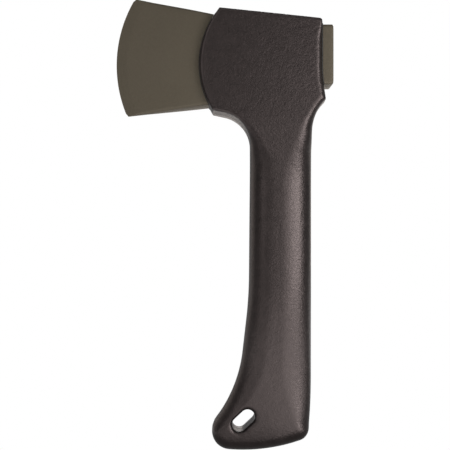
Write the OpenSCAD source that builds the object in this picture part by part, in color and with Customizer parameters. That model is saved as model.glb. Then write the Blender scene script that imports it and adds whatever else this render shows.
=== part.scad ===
// Compact camping hatchet: a forged steel head held in the loop of a moulded, hollow handle.
// Upright frame: +Z runs from the butt to the head, -X is the cutting edge, +X is the poll
// and Y is the thickness. The origin is at the bottom centre of the bounding box.

/* [Handle] */
// Depth of the grip, from the throat side to the poll side
grip_depth = 32.2; // [31.6:0.1:33]
// Thickness of the grip
grip_thickness = 24; // [22:0.5:26]
// Thickness of the butt
butt_thickness = 17; // [16:0.5:20]
// Thickness of the loop that holds the head
loop_thickness = 28; // [27:0.5:31]
// Wall of the hollow grip
wall = 3.5; // [2.5:0.25:4]

/* [Head] */
// Thickness of the poll and of the hidden body
poll_thickness = 21; // [19:0.5:21.5]
// Height of the poll face
poll_height = 31.3; // [28:0.1:32]
// Radius of the curved cutting edge
edge_radius = 68.4; // [67.8:0.1:69]
// Width of the ground bevel along the cutting edge
bevel_width = 5.6; // [4:0.1:8]
// Diameter of the windows that lock the head into the handle
window_d = 12; // [8:0.5:13]

/* [Lanyard slot] */
// Length of the slot over its round ends
slot_length = 13.4; // [12:0.1:16]
// Width of the slot
slot_width = 7.6; // [6.8:0.1:8.8]
// Tilt of the slot, rising toward the poll side
slot_tilt = 43; // [38:1:47]

/* [Fits] */
// Thickness of the resin bed between the head and the handle
bed = 0.4; // [0.3:0.1:0.6]
// Clearance round the tongue in its groove
tongue_gap = 0.1; // [0.05:0.05:0.2]

/* [Hidden] */

head_half = poll_thickness / 2;
loop_half = loop_thickness / 2;
grip_half = grip_thickness / 2;
butt_half = butt_thickness / 2;

// Main places in the outline
grip_x = 13.9;
back_x = grip_x + grip_depth;
throat_z = 173.4;
loop_left_x = -2.6;
loop_right_x = 51.4;
loop_top_z = 231.5;
loop_fall = 0.104;
poll_x = 57;
poll_z = 191.65;
poll_top_z = poll_z + poll_height;
edge_centre = [11.4, 202.95];
slot_centre = [10.2, 16];

// The cutting edge is this thick, and the bevel ends at this half thickness
edge_half = 0.15;
bevel_half = 1.9;
cheek_radius = 130;
cheek_start = 29.5;

// The hidden body laps this far into the wedge of the bit
body_overlap = 0.5;

// The butt swells into the grip, and the grip into the loop, between these heights
swell_low_z = 10;
swell_high_z = 90;
neck_z = 140;

// The lofted grip and butt run up a little inside the loop
loft_top_z = 172;
loft_overlap = 0.5;
butt_round = 5;

// Squareness of the section: 2 is an ellipse, and a high number is nearly a rectangle
grip_square = 3;
butt_square = 4.5;
loop_square = 9;

// Hollow of the grip: pockets between cross ribs
hollow_low_z = 28;
hollow_high_z = 172;
hollow_full_z = 95;
hollow_butt_half = 5.2;
rib = 2.4;
pockets = 4;

// Tongue and groove along both walls of the grip, on the plane where the halves meet
tongue_inset = 1.2;
tongue_width = 1.2;
tongue_height = 1.2;
tongue_root = 1;
tongue_low_z = 20;
tongue_high_z = 170;

// Middles of the windows, and how far each boss that fills them runs into the handle's wall
window_places = [[17, 206.65], [33.5, 206.65]];
boss_root = 1;

// Reach of the cutting shapes that pass right through
past = 40;

// Each corner is [x, z, radius of the arc that rounds it]
handle_corners = [
    [-17.1, 1.95, 9.6],
    [7.1, 28.25, 72],
    [grip_x - 0.8, 80.3, 213],
    [grip_x, throat_z, 16.8],
    [-6.2, throat_z + 4.2, 1],
    [-21.7, 205.45, 45.8],
    [loop_left_x, loop_top_z, 1.2],
    [loop_right_x, loop_top_z - loop_fall * (loop_right_x - loop_left_x), 2],
    [loop_right_x, 196.6, 40],
    [loop_right_x + 2, 183.6, 1.5],
    [back_x, 175.8, 22],
    [back_x, 27.3, 300],
    [back_x - 1.6, 6.4, 7],
    [20.75, -1.26, 92.75]
];

// The two corners on the cutting side lie beyond the edge, which a radius cuts off.
// Between the bit and the poll the hidden body has a waist, which the handle grips.
head_corners = [
    [-62, 174.4, 0],
    [-60, 241.25, 0],
    [1, 227, 5],
    [10, 219.65, 5],
    [41, 218.65, 4],
    [45.5, poll_top_z, 2],
    [poll_x, poll_top_z, 1],
    [poll_x, poll_z, 1],
    [45.5, poll_z, 2],
    [41, 194.65, 4],
    [10, 193.65, 5],
    [1, 182.35, 5]
];

function unit(v) = v / norm(v);
function flat(corner) = [corner[0], corner[1]];

// Points of the arc that rounds corner b, between a and c
function corner_arc(a, b, c, r) = r == 0 ? [b] :
    let (
        back = unit(a - b),
        ahead = unit(c - b),
        half = acos(back * ahead) / 2,
        centre = b + unit(back + ahead) * r / sin(half),
        first = b + back * r / tan(half) - centre,
        start = atan2(first.y, first.x),
        sweep = (180 - 2 * half) * sign(cross(b - a, c - b)),
        steps = max(2, ceil(abs(sweep) / (r > 40 ? 3 : 9)))
    )
    [for (i = [0:steps]) centre + r * [cos(start + sweep * i / steps), sin(start + sweep * i / steps)]];

// Closed outline from a list of corners
function outline(corners) =
    let (n = len(corners))
    [for (i = [0:n - 1]) each corner_arc(
        flat(corners[(i + n - 1) % n]), flat(corners[i]), flat(corners[(i + 1) % n]), corners[i][2])];

handle_outline = outline(handle_corners);

// Places where a closed outline crosses the height z
function crossings(points, z) =
    let (n = len(points))
    [for (i = [0:n - 1])
        let (a = points[i], b = points[(i + 1) % n])
        if ((a.y <= z) != (b.y <= z)) a.x + (z - a.y) / (b.y - a.y) * (b.x - a.x)];

// Rises smoothly from 0 at low to 1 at high
function rise(z, low, high) =
    let (t = max(0, min(1, (z - low) / (high - low))))
    t * t * (3 - 2 * t);

// Half thickness of the handle at the height z, with a round end at the butt
function half_at(z) =
    let (
        grip = butt_half + (grip_half - butt_half) * rise(z, swell_low_z, swell_high_z),
        full = grip + (loop_half - grip) * rise(z, neck_z, loft_top_z),
        end = z < butt_round ? sqrt(1 - pow(1 - z / butt_round, 2)) : 1
    )
    full * end;

// Squareness of the section at the height z
function square_at(z) = grip_square
    + (loop_square - grip_square) * rise(z, neck_z + 10, loft_top_z)
    + (butt_square - grip_square) * (1 - rise(z, swell_low_z, swell_high_z - 20));

// Heights of the loft's sections: close together at the round butt, and again at the neck
ring_steps = 14;
end_steps = 5;
end_start_z = 0.05;
loft_levels = [
    for (i = [0:end_steps]) end_start_z + (butt_round - end_start_z) * (1 - cos(90 * i / end_steps)),
    for (z = [butt_round + 4:6:loft_top_z - 7]) z,
    for (z = [loft_top_z - 5:2.5:loft_top_z]) z
];

// Half of the handle's section at the height z. side is -1 for the front and 1 for the back.
function ring(z, side) =
    let (
        ends = crossings(handle_outline, z),
        mid = (min(ends) + max(ends)) / 2,
        reach = (max(ends) - min(ends)) / 2,
        power = 2 / square_at(z)
    )
    [for (i = [0:ring_steps])
        let (a = 180 * i / ring_steps)
        [
            mid + reach * sign(cos(a)) * pow(abs(cos(a)), power),
            i == 0 || i == ring_steps ? 0 : side * half_at(z) * pow(sin(a), power),
            z
        ]];

// Half of the lofted grip and butt, closed on the plane where the halves meet
module loft_half(side) {
    count = ring_steps + 1;
    rings = len(loft_levels);
    points = [for (z = loft_levels) each ring(z, side)];
    walls = [
        for (k = [0:rings - 2], i = [0:count - 1])
            let (low = k * count, high = low + count, j = (i + 1) % count)
            each [[low + i, low + j, high + j], [low + i, high + j, high + i]]
    ];
    bottom = [for (i = [0:count - 1]) count - 1 - i];
    top = [for (i = [0:count - 1]) (rings - 1) * count + i];
    faces = concat(walls, [bottom, top]);
    reversed = [for (f = faces) [for (i = [len(f) - 1:-1:0]) f[i]]];
    polyhedron(points, side > 0 ? reversed : faces);
}

// Turns a flat shape drawn in X and Z into a plate from y0 to y1
module plate(y0, y1) {
    translate([0, y1, 0])
        rotate([90, 0, 0])
            linear_extrude(y1 - y0)
                children();
}

// The loop at the top of one half of the handle
module loop_half_block(side) {
    intersection() {
        plate(min(0, side * loop_half), max(0, side * loop_half))
            polygon(handle_outline);
        translate([-past, -past, loft_top_z - loft_overlap])
            cube([3 * past, 2 * past, 2 * past]);
    }
}

// Wedge of the bit: it thins toward the round cutting edge. grow makes it thicker all over.
module bit_wedge(grow) {
    profile = outline([
        [0, head_half + grow, 0],
        [cheek_start, head_half + grow, cheek_radius],
        [edge_radius - bevel_width, bevel_half + grow, 0],
        [edge_radius, edge_half + grow, 0],
        [edge_radius, -edge_half - grow, 0],
        [edge_radius - bevel_width, -bevel_half - grow, 0],
        [cheek_start, -head_half - grow, cheek_radius],
        [0, -head_half - grow, 0]
    ]);
    translate([edge_centre.x, 0, edge_centre.y])
        rotate([90, 0, 0])
            rotate([0, 0, 90])
                rotate_extrude(angle = 180, $fn = 180)
                    polygon(profile);
}

// The forging with no windows. grow makes it bigger all over, for the socket in the handle.
module forging(grow) {
    intersection() {
        plate(-head_half - grow, head_half + grow)
            offset(delta = grow)
                polygon(outline(head_corners));
        union() {
            bit_wedge(grow);
            translate([edge_centre.x - body_overlap, -past, poll_z - past])
                cube([2 * past, 2 * past, 3 * past]);
        }
    }
}

// Round bars through the head: the windows, or the bosses that fill them
module window_bars(d, y0, y1) {
    for (place = window_places)
        translate([place.x, y1, place.y])
            rotate([90, 0, 0])
                cylinder(h = y1 - y0, d = d, $fn = 48);
}

// Half thickness of the hollow at its two ends, as a cutter's outline in Y and Z
module hollow_envelope() {
    top_half = grip_half - wall;
    rotate([90, 0, 90])
        linear_extrude(3 * past, center = true)
            polygon([
                [-hollow_butt_half, hollow_low_z], [hollow_butt_half, hollow_low_z],
                [top_half, hollow_full_z], [top_half, hollow_high_z],
                [-top_half, hollow_high_z], [-top_half, hollow_full_z]
            ]);
}

// The hollow inside the grip, divided by the cross ribs
module hollow() {
    pitch = (hollow_high_z - hollow_low_z + rib) / pockets;
    intersection() {
        plate(-past, past)
            offset(delta = -wall)
                polygon(handle_outline);
        hollow_envelope();
        for (i = [0:pockets - 1])
            translate([-past, -past, hollow_low_z + i * pitch])
                cube([3 * past, 2 * past, pitch - rib]);
    }
}

// Slot for a lanyard, through both halves at the butt
module lanyard_slot() {
    straight = slot_length - slot_width;
    translate([slot_centre.x, 0, slot_centre.y])
        rotate([90, -slot_tilt, 0]) {
            for (side = [-1, 1])
                translate([side * straight / 2, 0, 0])
                    cylinder(h = past, d = slot_width, center = true, $fn = 48);
            cube([straight, slot_width, past], center = true);
        }
}

// Rim along both walls of the grip. grow widens it into the groove.
module tongue(grow, height) {
    intersection() {
        plate(-tongue_root, height)
            difference() {
                offset(delta = grow - tongue_inset)
                    polygon(handle_outline);
                offset(delta = -grow - tongue_inset - tongue_width)
                    polygon(handle_outline);
            }
        translate([-past, -past, tongue_low_z - grow])
            cube([3 * past, 2 * past, tongue_high_z - tongue_low_z + 2 * grow]);
    }
}

// One half of the handle, with its socket for the head, its hollow and its bosses
module handle_half(side) {
    boss_d = window_d - 2 * bed;
    boss_reach = side * (head_half + boss_root);
    difference() {
        union() {
            loft_half(side);
            loop_half_block(side);
        }
        forging(bed);
        hollow();
        lanyard_slot();
    }
    window_bars(boss_d, min(0, boss_reach), max(0, boss_reach));
}

module axe_head() {
    color("#554e44")
        difference() {
            forging(0);
            window_bars(window_d, -past, past);
        }
}

module head_bed() {
    color("#2b2725")
        difference() {
            intersection() {
                forging(bed);
                plate(-past, past)
                    polygon(handle_outline);
            }
            difference() {
                forging(0);
                window_bars(window_d, -past, past);
            }
            window_bars(window_d - 2 * bed, -past, past);
        }
}

module handle_front_half() {
    color("#464040")
        union() {
            handle_half(-1);
            tongue(0, tongue_height);
        }
}

module handle_back_half() {
    color("#464040")
        difference() {
            handle_half(1);
            tongue(tongue_gap, tongue_height + tongue_gap);
        }
}

axe_head();
head_bed();
handle_front_half();
handle_back_half();
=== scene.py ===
"""Compact camping hatchet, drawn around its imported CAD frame.

The handle is one smooth field: a flat-sided outline whose edge rolls over, by a width that grows
from the loop round the head down to the grip. Each half is meshed from that field up to the joint
plane. The head is a tube of sections that runs from the cutting edge to the poll. Shapes are worked
out in millimetres, and turned into metres when the meshes are made.
"""
import math

import bmesh
import bpy
import numpy as np
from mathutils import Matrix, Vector


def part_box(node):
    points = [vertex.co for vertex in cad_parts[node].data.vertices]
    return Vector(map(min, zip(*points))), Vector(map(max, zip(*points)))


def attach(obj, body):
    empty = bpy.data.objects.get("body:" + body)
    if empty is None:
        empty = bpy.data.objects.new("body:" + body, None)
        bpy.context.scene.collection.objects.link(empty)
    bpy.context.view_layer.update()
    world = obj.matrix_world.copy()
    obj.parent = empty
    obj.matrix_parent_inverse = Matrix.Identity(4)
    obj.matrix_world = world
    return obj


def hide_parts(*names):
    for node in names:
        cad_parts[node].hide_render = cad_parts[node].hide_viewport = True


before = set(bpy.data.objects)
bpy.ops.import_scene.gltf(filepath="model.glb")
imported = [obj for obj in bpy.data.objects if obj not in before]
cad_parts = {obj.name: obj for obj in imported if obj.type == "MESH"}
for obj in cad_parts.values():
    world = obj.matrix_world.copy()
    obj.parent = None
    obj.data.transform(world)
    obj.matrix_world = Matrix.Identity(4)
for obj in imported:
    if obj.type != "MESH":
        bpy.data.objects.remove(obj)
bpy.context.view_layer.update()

MM = 0.001

# ---------------------------------------------------------------- the handle, in millimetres

handle_low, handle_high = [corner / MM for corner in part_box("handle_front_half")]

# Half thicknesses of the loop that holds the head, the grip and the butt
LOOP_HALF = -handle_low.y
GRIP_HALF = 12.0
BUTT_HALF = 8.5

# The butt swells into the grip, and the grip into the loop, between these heights
GRIP_SWELL = (10, 90)
LOOP_SWELL = (140, 174)

# Main places in the outline
GRIP_X = 13.9
BACK_X = 46.1
LOOP_RIGHT_X = 51.4
THROAT_Z = 173.4

# Each corner is x, z and the radius of the arc that rounds it
HANDLE_CORNERS = [
    (-17.1, 1.95, 9.6),
    (7.1, 28.25, 72),
    (GRIP_X - 0.8, 80.3, 213),
    (GRIP_X, THROAT_Z, 16.8),
    (-6.2, THROAT_Z + 4.2, 1),
    (-21.7, 205.45, 45.8),
    (-2.6, 231.5, 1.2),
    (LOOP_RIGHT_X, 225.9, 2),
    (LOOP_RIGHT_X, 196.6, 40),
    (LOOP_RIGHT_X + 2, 183.6, 1.5),
    (BACK_X, 175.8, 22),
    (BACK_X, 27.3, 300),
    (BACK_X - 1.6, 6.4, 7),
    (20.75, -1.26, 92.75),
]

# The loop's sides are crowned: they fall away by this much at CROWN_REACH from CROWN_X
CROWN = 0.35
CROWN_X = 22
CROWN_REACH = 30
CROWN_RISE = (165, 190)

# The loop's outline draws in by this share of the distance from the joint plane
DRAFT = 0.035
DRAFT_RISE = (160, 185)

# Width of the rolled edge on the throat side and the poll side, along the grip and round the loop
THROAT_GRIP_ROLL, THROAT_LOOP_ROLL = 13.0, 1.5
POLL_GRIP_ROLL, POLL_LOOP_ROLL = 19.0, 3.2
# Width of the rolled edge under the butt and along the loop's top
BUTT_ROLL, TOP_ROLL = 5.5, 1.1
# Heights between which those widths change, and the places in X between the throat and poll sides
THROAT_ROLL_CHANGE = (146, 174)
POLL_ROLL_CHANGE = (137, 183)
BUTT_ROLL_CHANGE = (2, 44)
TOP_ROLL_CHANGE = (214, 224)
SIDE_CHANGE = (20, 38)

# Power of the rolled edge's curve: 2 is a round, more is squarer, and less is nearer a chamfer
ROUND_POWER = 2.0
# What a wide roll adds, and the widths between which it comes in
WIDE_POWER = 0.4
WIDE_ROLL = (4, 12)
# What the lower grip takes off, and the heights between which that comes in and goes out again
LOWER_POWER = 0.45
LOWER_RISE = (4, 16)
LOWER_FALL = (20, 110)

# The lanyard slot, with the roll of its rim
SLOT_CENTRE = np.array([10.2, 16.0])
SLOT_LENGTH = 13.4
SLOT_WIDTH = 7.6
SLOT_TILT = math.radians(43)
SLOT_ROLL = 2.3

# The seam on the joint plane: half its width and its depth
SEAM_HALF = 0.35
SEAM_DEPTH = 0.4

# ---------------------------------------------------------------- the head, in millimetres

head_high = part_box("axe_head")[1] / MM

HEAD_HALF = head_high.y
POLL_X = head_high.x
POLL_LOW_Z, POLL_TOP_Z = 191.65, 222.95
# The outline runs this far past the poll's face, so that the last section still crosses it
PAST = 5

# Corners as in the handle's list. The first two lie beyond the cutting edge, which cuts them off.
# Between the bit and the poll the body has a waist, which the handle hides.
HEAD_CORNERS = [
    (-62, 174.4, 0),
    (-60, 241.25, 0),
    (1, 227, 5),
    (10, 219.65, 5),
    (41, 218.65, 4),
    (45.5, POLL_TOP_Z, 2),
    (POLL_X + PAST, POLL_TOP_Z, 0),
    (POLL_X + PAST, POLL_LOW_Z, 0),
    (45.5, POLL_LOW_Z, 2),
    (41, 194.65, 4),
    (10, 193.65, 5),
    (1, 182.35, 5),
]

# The cutting edge is an arc. A bevel is ground along it, and the cheeks behind the bevel are a
# wedge that a large round joins to the flat sides of the body.
EDGE_CENTRE = np.array([11.4, 202.95])
EDGE_RADIUS = 68.4
EDGE_HALF = 0.12
BEVEL_WIDTH = 5.6
BEVEL_HALF = 1.9
CHEEK_RADIUS = 130.0
CHEEK_START = 29.5

# Rounding of the horns, at the two ends of the cutting edge, and the share of the edge it takes
HORN_ROUND = 1.0
HORN_SHARE = 0.025
# Rounding round the poll's face
POLL_ROUND = 1.0
# Rounding along the top and the underside, which is never more than this share of the half thickness
RIM_ROUND = 1.7
RIM_SHARE = 0.6
# The head is never thinner than this on either side of its middle plane
LEAST_HALF = 0.02

# Resin bed between the head and the handle, and the least half thickness that its socket is cut for
BED = 0.4
SOCKET_LEAST_HALF = 1

# ---------------------------------------------------------------- meshes, in millimetres

# Size of the handle's grid cells
CELL = 0.65
# Points this close to the joint plane lie on it
JOINT_REACH = 0.01
# A side of an outline shorter than the first is left out, and a slope below the second counts as it
LEAST_LENGTH_SQUARED = 1e-12
LEAST_SLOPE_SQUARED = 1e-6
# Edges that turn by more than these angles, in degrees, stay crisp
HANDLE_CREASE = 32
HEAD_CREASE = 40

# Steps round a corner of an outline, in degrees: fine steps where its radius is over the limit
FINE_TURN, COARSE_TURN = 1, 4
FINE_TURN_RADIUS = 40
LEAST_CORNER_STEPS = 4

# Sections of the bit: first by distance from the cutting edge, then in even steps to the root
BIT_DISTANCES = [0, 0.12, 0.3, 0.6, 1, 1.6, 2.4, 3.4, 4.5, 5.3, BEVEL_WIDTH, 6, 7, 8.5]
BIT_STEPS = 24
ROOT_X = -1.5
# Places in X of the sections behind the bit, which lie closer together where the outline turns
SHOULDER_SECTIONS = [0.5, 1.5, 2.5, 4, 6, 8, 9, 10, 11, 13]
BODY_SECTIONS = [-0.5, *SHOULDER_SECTIONS, *range(18, 37, 6), *np.arange(39.5, 47), *range(48, 55, 2)]
# Places in X of the socket's sections, which run past the handle at both ends
SOCKET_SECTIONS = [*range(-30, 0, 6), -1, *SHOULDER_SECTIONS, 30, *range(39, 47), 60]
# Steps up a section's face, round its rim, and round the edge of the poll's face
FACE_STEPS = 44
RIM_STEPS = 4
POLL_STEPS = 5

# ---------------------------------------------------------------- colours, in linear light

NYLON_DARK, NYLON_PALE = (0.0030, 0.0023, 0.0022), (0.0078, 0.0061, 0.0058)
NYLON_SHINE = (1, 0.825, 0.80, 1)
STEEL_DARK, STEEL_PALE = (0.058, 0.0488, 0.0354), (0.064, 0.0538, 0.0394)
STEEL_SPECK = (0.069, 0.058, 0.0423)
STEEL_SHINE = (1, 0.9, 0.76, 1)
RESIN_DARK, RESIN_PALE = (0.008, 0.007, 0.006), (0.014, 0.012, 0.011)
WHITE = (1, 1, 1)
WARM = (1, 0.88, 0.8)

# ---------------------------------------------------------------- the studio, in metres

FLOOR_HALF = 30.0
# Brightness of the light that the floor and the world cast, where 1 is the white that is seen
FLOOR_CAST = 0.35
WORLD_CAST = 0.26
# Distance of the upright screens, and height of the panels that lie just over the floor
SCREEN_DISTANCE = 0.9
LOW_PANEL_Z = 0.002
# The overhead panels face the middle of the hatchet
MIDDLE = (0, 0, 0.12)

CAMERA_PLACE = (0.0005, -0.5, 0.11838)
# The lens and the sensor are in millimetres
LENS = 75.36
SENSOR_WIDTH = 36
NEAREST_SEEN = 0.01

# ---------------------------------------------------------------- outlines


def between(first, second, share):
    """The value at a share of the way from the first to the second."""
    return first + (second - first) * share


def rise(value, low, high):
    """Rises smoothly from 0 at low to 1 at high."""
    t = np.clip((value - low) / (high - low), 0, 1)
    return t * t * (3 - 2 * t)


def corner_arc(before, corner, after, radius):
    """Points of the arc that rounds a corner between its two neighbours."""
    if radius == 0:
        return [corner]
    back = (before - corner) / np.linalg.norm(before - corner)
    ahead = (after - corner) / np.linalg.norm(after - corner)
    half = math.acos(float(back @ ahead)) / 2
    middle = (back + ahead) / np.linalg.norm(back + ahead)
    centre = corner + middle * radius / math.sin(half)
    first = corner + back * radius / math.tan(half) - centre
    sweep = math.pi - 2 * half
    incoming, outgoing = corner - before, after - corner
    if incoming[0] * outgoing[1] - incoming[1] * outgoing[0] < 0:
        sweep = -sweep
    start = math.atan2(first[1], first[0])
    turn = FINE_TURN if radius > FINE_TURN_RADIUS else COARSE_TURN
    steps = max(LEAST_CORNER_STEPS, math.ceil(abs(sweep) / math.radians(turn)))
    angles = start + sweep * np.arange(steps + 1) / steps
    return [centre + radius * np.array([math.cos(a), math.sin(a)]) for a in angles]


def outline(corners):
    """Closed outline of a corner list, with every corner rounded."""
    places = [np.array(corner[:2], dtype=float) for corner in corners]
    points = []
    for i, corner in enumerate(corners):
        points += corner_arc(places[i - 1], places[i], places[(i + 1) % len(places)], corner[2])
    return np.array(points)


class DistanceTable:
    """Distance from a closed outline, positive inside, looked up between points of a grid.

    The grid's step, and the margin that it keeps round the outline, are in millimetres.
    """

    def __init__(self, points, step=0.35, margin=8.0):
        self.low = points.min(axis=0) - margin
        self.step = step
        size = np.ceil((points.max(axis=0) + margin - self.low) / step).astype(int) + 2
        across, up = [self.low[i] + step * np.arange(size[i]) for i in (0, 1)]
        gx, gz = np.meshgrid(across, up, indexing="ij")
        nearest = np.full(gx.shape, np.inf)
        inside = np.zeros(gx.shape, dtype=bool)
        for a, b in zip(points, np.roll(points, -1, axis=0)):
            along = b - a
            length_squared = float(along @ along)
            if length_squared < LEAST_LENGTH_SQUARED:
                continue
            t = np.clip(((gx - a[0]) * along[0] + (gz - a[1]) * along[1]) / length_squared, 0, 1)
            away = (gx - a[0] - t * along[0]) ** 2 + (gz - a[1] - t * along[1]) ** 2
            nearest = np.minimum(nearest, away)
            if a[1] != b[1]:
                crossed = (a[1] > gz) != (b[1] > gz)
                inside ^= crossed & (gx < a[0] + (gz - a[1]) / along[1] * along[0])
        self.table = np.where(inside, 1, -1) * np.sqrt(nearest)

    def __call__(self, x, z):
        # A place outside the table is moved to just within its last cell
        u = np.clip((x - self.low[0]) / self.step, 0, self.table.shape[0] - 1.001)
        v = np.clip((z - self.low[1]) / self.step, 0, self.table.shape[1] - 1.001)
        i, j = u.astype(int), v.astype(int)
        u, v = u - i, v - j
        t = self.table
        low = t[i, j] * (1 - u) + t[i + 1, j] * u
        high = t[i, j + 1] * (1 - u) + t[i + 1, j + 1] * u
        return low * (1 - v) + high * v


# ---------------------------------------------------------------- the handle as a field

handle_distance = DistanceTable(outline(HANDLE_CORNERS))


def half_thickness(x, z):
    """Half thickness of the handle, with a slightly crowned loop."""
    grip = between(BUTT_HALF, GRIP_HALF, rise(z, *GRIP_SWELL))
    full = between(grip, LOOP_HALF, rise(z, *LOOP_SWELL))
    return full - CROWN * np.clip((x - CROWN_X) / CROWN_REACH, -1, 1) ** 2 * rise(z, *CROWN_RISE)


def edge_roll(x, z):
    """Width over which the flat side rolls over into the edge."""
    throat_side = between(THROAT_GRIP_ROLL, THROAT_LOOP_ROLL, rise(z, *THROAT_ROLL_CHANGE))
    poll_side = between(POLL_GRIP_ROLL, POLL_LOOP_ROLL, rise(z, *POLL_ROLL_CHANGE))
    roll = between(throat_side, poll_side, rise(x, *SIDE_CHANGE))
    roll = between(BUTT_ROLL, roll, rise(z, *BUTT_ROLL_CHANGE))
    return between(roll, TOP_ROLL, rise(z, *TOP_ROLL_CHANGE))


def slot_distance(x, z):
    """Distance outside the edge of the lanyard slot."""
    along = np.array([math.cos(SLOT_TILT), math.sin(SLOT_TILT)])
    reach = (SLOT_LENGTH - SLOT_WIDTH) / 2
    dx, dz = x - SLOT_CENTRE[0], z - SLOT_CENTRE[1]
    t = np.clip(dx * along[0] + dz * along[1], -reach, reach)
    return np.hypot(dx - t * along[0], dz - t * along[1]) - SLOT_WIDTH / 2


def rolled(inset, depth, half, roll, roll_depth, power):
    """Field of a flat-sided solid whose edge rolls over. It is negative inside."""
    a = np.clip(roll - inset, 0, None) / roll
    b = np.clip(depth - (half - roll_depth), 0, None) / roll_depth
    return ((a**power + b**power) ** (1 / power) - 1) * np.minimum(roll, roll_depth)


def handle_field(p):
    """Negative inside the handle, and close to a distance near its surface."""
    x, y, z = p[..., 0], p[..., 1], p[..., 2]
    depth = np.abs(y)
    half = half_thickness(x, z)
    roll = edge_roll(x, z)
    inset = handle_distance(x, z) - DRAFT * depth * rise(z, *DRAFT_RISE)
    lower = rise(z, *LOWER_RISE) * (1 - rise(z, *LOWER_FALL))
    power = ROUND_POWER + WIDE_POWER * rise(roll, *WIDE_ROLL) - LOWER_POWER * lower
    body = rolled(inset, depth, half, roll, np.minimum(roll, half), power)
    slot = rolled(slot_distance(x, z), depth, half, SLOT_ROLL, SLOT_ROLL, ROUND_POWER)
    return np.maximum(body, slot)


def surface_net(field, axes):
    """Quads round the field's zero surface: one vertex in each grid cell that the surface crosses."""
    grid = np.stack(np.meshgrid(*axes, indexing="ij"), axis=-1)
    value = field(grid)
    cells = tuple(n - 1 for n in value.shape)
    total = np.zeros(cells + (3,))
    count = np.zeros(cells)

    def corner_value(shift):
        """The field at one corner of every cell."""
        return value[tuple(slice(s, n + s) for s, n in zip(shift, cells))]

    # A cell's vertex is the mean of the places where its twelve edges cross the surface
    for axis in range(3):
        others = [(axis + 1) % 3, (axis + 2) % 3]
        for first in (0, 1):
            for second in (0, 1):
                shift = [0, 0, 0]
                shift[others[0]], shift[others[1]] = first, second
                low = corner_value(shift)
                shift[axis] = 1
                high = corner_value(shift)
                cross = (low < 0) != (high < 0)
                span = np.where(cross, low - high, 1)
                total[..., axis] += np.where(cross, low / span, 0)
                total[..., others[0]] += np.where(cross, first, 0)
                total[..., others[1]] += np.where(cross, second, 0)
                count += cross
    used = count > 0
    index = np.full(cells, -1)
    index[used] = np.arange(used.sum())
    steps = np.array([axis[1] - axis[0] for axis in axes])
    origin = np.array([axis[0] for axis in axes])
    vertices = origin + (np.argwhere(used) + total[used] / count[used][:, None]) * steps

    # Each grid edge that crosses the surface gives a quad between the four cells round it
    quads = []
    for axis in range(3):
        order = [axis, (axis + 1) % 3, (axis + 2) % 3]
        v = np.moveaxis(value, order, [0, 1, 2])
        k = np.moveaxis(index, order, [0, 1, 2])
        low, high = v[:-1, 1:-1, 1:-1], v[1:, 1:-1, 1:-1]
        ring = np.stack([k[:, :-1, :-1], k[:, 1:, :-1], k[:, 1:, 1:], k[:, :-1, 1:]], axis=-1)
        outward = (low < 0) & (high >= 0)
        inward = (low >= 0) & (high < 0)
        quads += [ring[outward], ring[inward][:, ::-1]]
    return vertices, np.concatenate(quads)


def slope(field, p, reach=0.03):
    """Gradient of the field at each point."""
    result = np.empty_like(p)
    for axis in range(3):
        step = np.zeros(3)
        step[axis] = reach
        result[:, axis] = (field(p + step) - field(p - step)) / (2 * reach)
    return result


def settle(field, p, rounds=4):
    """Moves the points onto the field's zero surface, by at most half a cell in each round."""
    for _ in range(rounds):
        g = slope(field, p)
        slope_squared = np.maximum((g * g).sum(axis=1), LEAST_SLOPE_SQUARED)
        shift = field(p)[:, None] * g / slope_squared[:, None]
        p = p - np.clip(shift, -CELL / 2, CELL / 2)
    return p


def handle_skin():
    """Outer skin of the front half, open on the joint plane at y = 0."""
    margin = 2 * CELL
    # The last layer of cells in Y straddles the joint plane, so its vertices lie on the plane
    layers = math.ceil((LOOP_HALF + margin) / CELL) + 0.5
    axes = [
        np.arange(handle_low.x - margin, handle_high.x + margin, CELL),
        np.arange(-layers, 1) * CELL,
        np.arange(-margin, handle_high.z + margin, CELL),
    ]
    vertices, quads = surface_net(handle_field, axes)
    on_joint = vertices[:, 1] > -JOINT_REACH
    vertices[on_joint, 1] = 0
    vertices = settle(handle_field, vertices)
    vertices[on_joint, 1] = 0
    return vertices, quads


# ---------------------------------------------------------------- making objects


def new_object(name, data):
    """Puts a mesh, a light or a camera into the scene."""
    obj = bpy.data.objects.new(name, data)
    bpy.context.scene.collection.objects.link(obj)
    return obj


def object_from(bm, name):
    """Makes an object of the faces, all of them facing outward."""
    bmesh.ops.recalc_face_normals(bm, faces=bm.faces)
    mesh = bpy.data.meshes.new(name)
    bm.to_mesh(mesh)
    bm.free()
    return new_object(name, mesh)


def shade_smooth(obj, crease):
    """Shades the object smooth, except over edges that turn by more than the crease angle."""
    obj.data.polygons.foreach_set("use_smooth", [True] * len(obj.data.polygons))
    obj.data.set_sharp_from_angle(angle=math.radians(crease))


def tube(bm, rings):
    """Joins closed rings in millimetres by quads, and returns the rings of vertices."""
    grid = [[bm.verts.new(Vector(p) * MM) for p in ring] for ring in rings]
    for a, b in zip(grid, grid[1:]):
        for i in range(len(a)):
            j = (i + 1) % len(a)
            bm.faces.new([a[i], a[j], b[j], b[i]])
    return grid


def lookup_key(place):
    """A place rounded so that two vertices there give the same key."""
    return tuple(round(c, 4) for c in place)


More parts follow.
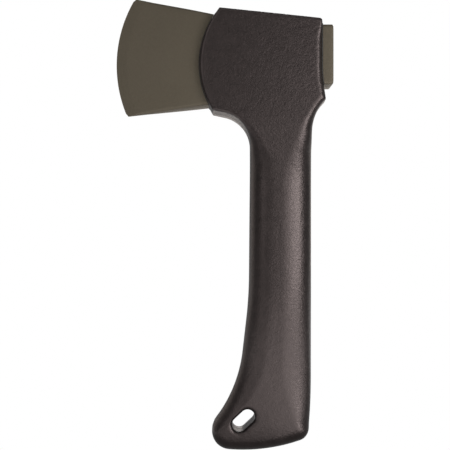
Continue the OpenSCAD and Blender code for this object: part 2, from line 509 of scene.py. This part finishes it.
def handle_half(name, skin, side):
    """One half of the handle, closed by a flat face on the joint plane, with a fine seam."""
    vertices, quads = skin
    bm = bmesh.new()
    made = [bm.verts.new(v) for v in vertices]
    for quad in quads:
        bm.faces.new([made[i] for i in quad])
    rim = [e for e in bm.edges if e.is_boundary]
    rim_verts = list({v for e in rim for v in e.verts})
    places = np.array([v.co for v in rim_verts])
    inward = -slope(handle_field, places)
    inward /= np.linalg.norm(inward, axis=1)[:, None]
    inward_at = {lookup_key(v.co): way for v, way in zip(rim_verts, inward)}
    # The old rim steps back from the joint, and a new rim on it lies a little deeper
    extruded = bmesh.ops.extrude_edge_only(bm, edges=rim)["geom"]
    new_rim_verts = [g for g in extruded if isinstance(g, bmesh.types.BMVert)]
    for v in new_rim_verts:
        v.co += Vector(inward_at[lookup_key(v.co)]) * SEAM_DEPTH
        v.co.y = 0
    for v in rim_verts:
        v.co.y = -SEAM_HALF
    lid = [e for e in bm.edges if e.is_boundary]
    bmesh.ops.triangle_fill(bm, use_beauty=True, edges=lid, normal=(0, 1, 0))
    if side > 0:
        for v in bm.verts:
            v.co.y = -v.co.y
    bmesh.ops.scale(bm, vec=(MM, MM, MM), verts=bm.verts)
    half = object_from(bm, name)
    shade_smooth(half, HANDLE_CREASE)
    return half


# ---------------------------------------------------------------- the head


def radius_of(place):
    """Distance from the centre of the edge's arc, counted as nothing behind that centre."""
    if place[0] > EDGE_CENTRE[0]:
        return 0.0
    return float(np.linalg.norm(place - EDGE_CENTRE))


def head_half_at(place):
    """Half thickness of the head at a place in X and Z."""
    radius = radius_of(place)
    bevel = EDGE_RADIUS - BEVEL_WIDTH
    tilt = math.atan((HEAD_HALF - BEVEL_HALF) / (bevel - CHEEK_START))
    reach = CHEEK_RADIUS * math.tan(tilt / 2)
    arc_low = CHEEK_START - reach
    arc_high = CHEEK_START + reach * math.cos(tilt)
    if radius <= arc_low:
        return HEAD_HALF
    if radius <= arc_high:
        return HEAD_HALF - CHEEK_RADIUS + math.sqrt(CHEEK_RADIUS**2 - (radius - arc_low) ** 2)
    if radius <= bevel:
        return BEVEL_HALF + (bevel - radius) * math.tan(tilt)
    return EDGE_HALF + (BEVEL_HALF - EDGE_HALF) * (EDGE_RADIUS - radius) / BEVEL_WIDTH


def heights_at(points, x):
    """Lowest and highest place of a closed outline at x."""
    found = []
    for a, b in zip(points, np.roll(points, -1, axis=0)):
        if (a[0] <= x) != (b[0] <= x):
            found.append(a[1] + (x - a[0]) / (b[0] - a[0]) * (b[1] - a[1]))
    return min(found), max(found)


def horn_bearing(a, b):
    """Angle round the edge's centre at which the line from a to b meets the cutting edge."""
    a, b = np.array(a[:2]), np.array(b[:2])
    along = (b - a) / np.linalg.norm(b - a)
    toward = a - EDGE_CENTRE
    mid = toward @ along
    across, up = toward + along * (-mid + math.sqrt(mid * mid - toward @ toward + EDGE_RADIUS**2))
    return math.atan2(up, across) % math.tau


head_outline = outline(HEAD_CORNERS)
root_low, root_high = heights_at(head_outline, ROOT_X)
low_bearing = horn_bearing(HEAD_CORNERS[-1], HEAD_CORNERS[0])
top_bearing = horn_bearing(HEAD_CORNERS[2], HEAD_CORNERS[1])


def edge_point(share):
    """Place on the cutting edge, at a share of the way from the lower horn to the upper."""
    a = between(low_bearing, top_bearing, share)
    return EDGE_CENTRE + EDGE_RADIUS * np.array([math.cos(a), math.sin(a)])


def root_point(share):
    """Place at the root of the bit, at a share of its height."""
    return np.array([ROOT_X, between(root_low, root_high, share)])


def bit_column(distance, share):
    """Column of the bit at a distance from the edge, and then a share of the way to the root."""

    def column(s):
        start, stop = edge_point(s), root_point(s)
        along = (stop - start) / np.linalg.norm(stop - start)
        place = between(start + along * distance, stop, share)
        # The horns are rounded off by a small arc
        if distance < HORN_ROUND:
            back = HORN_ROUND - distance
            drop = HORN_ROUND - math.sqrt(HORN_ROUND**2 - back * back)
            middle = between(edge_point(0.5), root_point(0.5), 0.5)
            pull = drop * max(0, 1 - min(s, 1 - s) / HORN_SHARE)
            place = place + (middle - place) / np.linalg.norm(middle - place) * pull
        return place

    return column


def upright_column(x, trim=0.0):
    """Column of the body at x, drawn in by the trim at both ends."""
    low, high = heights_at(head_outline, x)
    return lambda s: np.array([x, between(low + trim, high - trim, s)])


def rounded_rim(half):
    """Insets and depths from the middle plane over the rounded rim to a face."""
    radius = min(RIM_ROUND, RIM_SHARE * half)
    steps = [(0.0, 0.0), (0.0, half - radius)]
    for k in range(1, RIM_STEPS + 1):
        a = math.pi / 2 * k / RIM_STEPS
        steps.append((radius * (1 - math.cos(a)), half - radius * (1 - math.sin(a))))
    return steps


def head_ring(column, trim=0.0):
    """A closed section of the head. column(s) is the place in X and Z at the share s of its height."""

    def half_at(s):
        return max(head_half_at(column(s)) - trim, LEAST_HALF)

    length = np.linalg.norm(column(1) - column(0))
    low_rim, high_rim = rounded_rim(half_at(0)), rounded_rim(half_at(1))
    low_share, high_share = low_rim[-1][0] / length, 1 - high_rim[-1][0] / length
    run = [(inset / length, depth) for inset, depth in low_rim]
    for k in range(1, FACE_STEPS):
        s = between(low_share, high_share, k / FACE_STEPS)
        run.append((s, half_at(s)))
    run += [(1 - inset / length, depth) for inset, depth in reversed(high_rim)]
    # Up the front face and down the back face, which share the run's two ends
    loop = [(s, -depth) for s, depth in run] + run[-2:0:-1]
    return [(column(s)[0], depth, column(s)[1]) for s, depth in loop]


def axe_head():
    """The forging: sections from the cutting edge, over the hidden waist, to the poll."""
    rings = [head_ring(bit_column(distance, 0)) for distance in BIT_DISTANCES]
    for k in range(1, BIT_STEPS + 1):
        rings.append(head_ring(bit_column(BIT_DISTANCES[-1], k / BIT_STEPS)))
    rings += [head_ring(upright_column(x)) for x in BODY_SECTIONS]
    for k in range(POLL_STEPS + 1):
        a = math.pi / 2 * k / POLL_STEPS
        trim = POLL_ROUND * (1 - math.cos(a))
        x = POLL_X - POLL_ROUND * (1 - math.sin(a))
        rings.append(head_ring(upright_column(x, trim), trim))
    bm = bmesh.new()
    grid = tube(bm, rings)
    # The fine flat of the cutting edge is a strip of quads with a triangle at each end
    edge = grid[0]
    half = len(edge) // 2
    bm.faces.new([edge[0], edge[-1], edge[1]])
    for i in range(1, half - 1):
        bm.faces.new([edge[i], edge[-i], edge[-i - 1], edge[i + 1]])
    bm.faces.new([edge[half - 1], edge[half + 1], edge[half]])
    bm.faces.new(grid[-1])
    head = object_from(bm, "forged_head")
    shade_smooth(head, HEAD_CREASE)
    return head


# ---------------------------------------------------------------- cutting the head's socket


def socket_cutter():
    """The head's hidden body grown by the bed: it is cut out of both halves of the handle."""
    rings = []
    for x in SOCKET_SECTIONS:
        low, high = heights_at(head_outline, x)
        low, high = low - BED, high + BED
        half = max(head_half_at(np.array([x, EDGE_CENTRE[1]])), SOCKET_LEAST_HALF) + BED
        rings.append([(x, -half, low), (x, half, low), (x, half, high), (x, -half, high)])
    bm = bmesh.new()
    grid = tube(bm, rings)
    bm.faces.new(grid[0])
    bm.faces.new(grid[-1][::-1])
    return object_from(bm, "socket_cutter")


def cut(piece, cutter):
    """Takes the cutter's shape out of the piece."""
    modifier = piece.modifiers.new("cut", "BOOLEAN")
    modifier.object = cutter
    modifier.solver = "EXACT"
    graph = bpy.context.evaluated_depsgraph_get()
    result = bpy.data.meshes.new_from_object(piece.evaluated_get(graph))
    piece.modifiers.clear()
    piece.data = result


# ---------------------------------------------------------------- materials


def mixed(tree, share, first, second):
    """Colour at a share of the way from the first to the second, each a colour or a source."""
    node = tree.nodes.new("ShaderNodeMix")
    node.data_type = "RGBA"
    # On this node the share is socket 0, the two colours are 6 and 7, and the result is 2
    tree.links.new(share, node.inputs[0])
    for socket, colour in ((node.inputs[6], first), (node.inputs[7], second)):
        if isinstance(colour, tuple):
            socket.default_value = (*colour, 1)
        else:
            tree.links.new(colour, socket)
    return node.outputs[2]


class Nodes:
    """Short calls for making a material's nodes."""

    def __init__(self, name):
        self.material = bpy.data.materials.new(name)
        self.material.use_nodes = True
        self.tree = self.material.node_tree
        self.shader = self.tree.nodes["Principled BSDF"]
        self.coords = self.tree.nodes.new("ShaderNodeTexCoord").outputs["Object"]

    def join(self, source, target):
        """Links a source to one of the shader's sockets."""
        self.tree.links.new(source, self.shader.inputs[target])

    def set(self, **values):
        """Sets the shader's own sockets, with _ for each space in their names."""
        for name, value in values.items():
            self.shader.inputs[name.replace("_", " ")].default_value = value

    def noise(self, size, detail=3.0, roughness=0.5):
        """Noise with features of about the given size in metres."""
        node = self.tree.nodes.new("ShaderNodeTexNoise")
        node.inputs["Scale"].default_value = 1 / size
        node.inputs["Detail"].default_value = detail
        node.inputs["Roughness"].default_value = roughness
        self.tree.links.new(self.coords, node.inputs["Vector"])
        return node.outputs["Fac"]

    def spread(self, source, low=0, high=1, start=0.3, stop=0.7):
        """Maps the source's start to stop onto low to high."""
        node = self.tree.nodes.new("ShaderNodeMapRange")
        for name, value in (("From Min", start), ("From Max", stop), ("To Min", low), ("To Max", high)):
            node.inputs[name].default_value = value
        self.tree.links.new(source, node.inputs["Value"])
        return node.outputs["Result"]

    def blend(self, share, first, second):
        """Colour at a share of the way from the first to the second."""
        return mixed(self.tree, share, first, second)

    def bump(self, *heights):
        """Adds bumps: each height is a source and its depth in metres."""
        normal = None
        for source, depth in heights:
            node = self.tree.nodes.new("ShaderNodeBump")
            node.inputs["Strength"].default_value = 1
            node.inputs["Distance"].default_value = depth
            self.tree.links.new(source, node.inputs["Height"])
            if normal is not None:
                self.tree.links.new(normal, node.inputs["Normal"])
            normal = node.outputs["Normal"]
        self.join(normal, "Normal")


def nylon():
    """Black moulded nylon: a faint mottle under a fine grain."""
    n = Nodes("handle_nylon_black")
    mottle = n.noise(size=0.0045, detail=4, roughness=0.65)
    dimples = n.noise(size=0.0019, detail=2)
    grain = n.noise(size=0.00075, detail=4, roughness=0.6)
    n.join(n.blend(n.spread(mottle, start=0.35, stop=0.65), NYLON_DARK, NYLON_PALE), "Base Color")
    n.join(n.spread(grain, low=0.27, high=0.36), "Roughness")
    n.set(Specular_IOR_Level=0.45, Specular_Tint=NYLON_SHINE)
    n.bump((dimples, 0.00010), (grain, 0.00012))
    return n.material


def coated_steel():
    """Olive coated steel: a cloudy colour with paler specks."""
    n = Nodes("head_coating_olive")
    cloud = n.noise(size=0.022, detail=4)
    speck = n.noise(size=0.0012, detail=4, roughness=0.65)
    fine = n.noise(size=0.0004, detail=3, roughness=0.6)
    cloudy = n.blend(n.spread(cloud), STEEL_DARK, STEEL_PALE)
    n.join(n.blend(n.spread(speck, start=0.35, stop=0.75), cloudy, STEEL_SPECK), "Base Color")
    n.join(n.spread(speck, low=0.42, high=0.50), "Roughness")
    n.set(Metallic=0.15, Specular_IOR_Level=0.2, Specular_Tint=STEEL_SHINE)
    n.bump((speck, 0.00004), (fine, 0.00002))
    return n.material


def bed_resin():
    """Dull black resin."""
    n = Nodes("bed_resin_black")
    grain = n.noise(size=0.0008, detail=3)
    n.join(n.blend(grain, RESIN_DARK, RESIN_PALE), "Base Color")
    n.join(n.spread(grain, low=0.6, high=0.75), "Roughness")
    n.bump((grain, 0.00005))
    return n.material


# ---------------------------------------------------------------- build

skin = handle_skin()
cutter = socket_cutter()
nylon_material = nylon()
for node, side in (("handle_front_half", -1), ("handle_back_half", 1)):
    half = handle_half(node.replace("handle", "moulded"), skin, side)
    cut(half, cutter)
    half.data.materials.clear()
    half.data.materials.append(nylon_material)
    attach(half, "root")
    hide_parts(node)
bpy.data.objects.remove(cutter)

head = axe_head()
head.data.materials.append(coated_steel())
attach(head, "root")
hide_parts("axe_head")

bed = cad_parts["head_bed"]
bed.data.materials.clear()
bed.data.materials.append(bed_resin())

# ---------------------------------------------------------------- floor, light and camera


def panel(name, place, target, size, radiance, colour=WHITE):
    """A soft rectangular light that faces its target. Its brightness doesn't depend on its size."""
    width, height = size
    light = bpy.data.lights.new(name, "AREA")
    light.shape = "RECTANGLE"
    light.size, light.size_y = width, height
    light.energy = math.pi * width * height * radiance
    light.color = colour
    obj = new_object(name, light)
    obj.location = place
    obj.rotation_euler = (Vector(target) - Vector(place)).to_track_quat("-Z", "Y").to_euler()
    obj.visible_camera = False


def screen(name, bearings, heights, radiance, colour=WHITE):
    """An upright panel between two bearings, in degrees round from the camera to its right."""
    first, last = [
        Vector((math.sin(math.radians(a)), -math.cos(math.radians(a)), 0)) * SCREEN_DISTANCE
        for a in bearings
    ]
    low, high = heights
    target = Vector((0, 0, (low + high) / 2))
    size = ((last - first).length, high - low)
    panel(name, (first + last) / 2 + target, target, size, radiance, colour)


def low_panel(name, x, y, size, radiance):
    """A panel that lies just over the floor and faces straight up."""
    panel(name, (x, y, LOW_PANEL_Z), (x, y, 1), size, radiance)


def seen_and_cast(tree, target, cast):
    """Makes a studio surface white in the picture, while the light it casts is a dimmer grey."""
    path = tree.nodes.new("ShaderNodeLightPath")
    tree.links.new(mixed(tree, path.outputs["Is Camera Ray"], (cast, cast, cast), WHITE), target)


def lit_paper():
    """The floor's material, which glows evenly, so that no shadow falls on it."""
    material = bpy.data.materials.new("lit_paper")
    material.use_nodes = True
    tree = material.node_tree
    tree.nodes.clear()
    glow = tree.nodes.new("ShaderNodeEmission")
    seen_and_cast(tree, glow.inputs["Color"], FLOOR_CAST)
    out = tree.nodes.new("ShaderNodeOutputMaterial")
    tree.links.new(glow.outputs["Emission"], out.inputs["Surface"])
    return material


floor_corners = [(x * FLOOR_HALF, y * FLOOR_HALF, 0) for x, y in ((-1, -1), (1, -1), (1, 1), (-1, 1))]
floor_mesh = bpy.data.meshes.new("floor")
floor_mesh.from_pydata(floor_corners, [], [(0, 1, 2, 3)])
floor = new_object("floor", floor_mesh)
floor.data.materials.append(lit_paper())

# The key screens stand at the right front, low down, and end sharply before the side
screen("key_front", bearings=(7, 35), heights=(0, 0.34), radiance=3.4)
screen("key", bearings=(35, 56), heights=(0, 0.34), radiance=12.9)
screen("upper_right", bearings=(60, 84), heights=(0.3, 0.7), radiance=0.4)
screen("left", bearings=(-46, -20), heights=(0.12, 0.7), radiance=1.8)
# Warm screens behind light the rims
screen("rim_left", bearings=(-140, -100), heights=(0, 0.6), radiance=0.6, colour=WARM)
screen("rim_right", bearings=(125, 150), heights=(0, 0.6), radiance=0.45, colour=WARM)
screen("back", bearings=(150, 187), heights=(0.05, 0.2), radiance=1.25, colour=WARM)
# One panel overhead in front and one behind, and four near the floor that light it from below
panel("above", (0, -0.8, 1.0), MIDDLE, size=(1.4, 0.5), radiance=1.1)
panel("behind", (-0.1, 1.0, 0.75), MIDDLE, size=(1.6, 0.5), radiance=3.8)
low_panel("low_behind", 0.33, 0.36, size=(0.5, 0.5), radiance=0.9)
low_panel("low_right", 0.14, -0.19, size=(0.22, 0.32), radiance=3.1)
low_panel("low_left", -0.085, -0.19, size=(0.23, 0.32), radiance=1.3)
low_panel("under_left", -0.125, 0.03, size=(0.17, 0.3), radiance=0.9)

world = bpy.data.worlds.new("studio")
bpy.context.scene.world = world
world.use_nodes = True
seen_and_cast(world.node_tree, world.node_tree.nodes["Background"].inputs["Color"], WORLD_CAST)

camera = bpy.data.cameras.new("camera")
camera.sensor_width = SENSOR_WIDTH
camera.lens = LENS
camera.clip_start = NEAREST_SEEN
camera_object = new_object("camera", camera)
camera_object.location = CAMERA_PLACE
camera_object.rotation_euler = (math.radians(90), 0, 0)
bpy.context.scene.camera = camera_object

bpy.context.scene.view_settings.view_transform = "Standard"
bpy.context.scene.view_settings.look = "None"
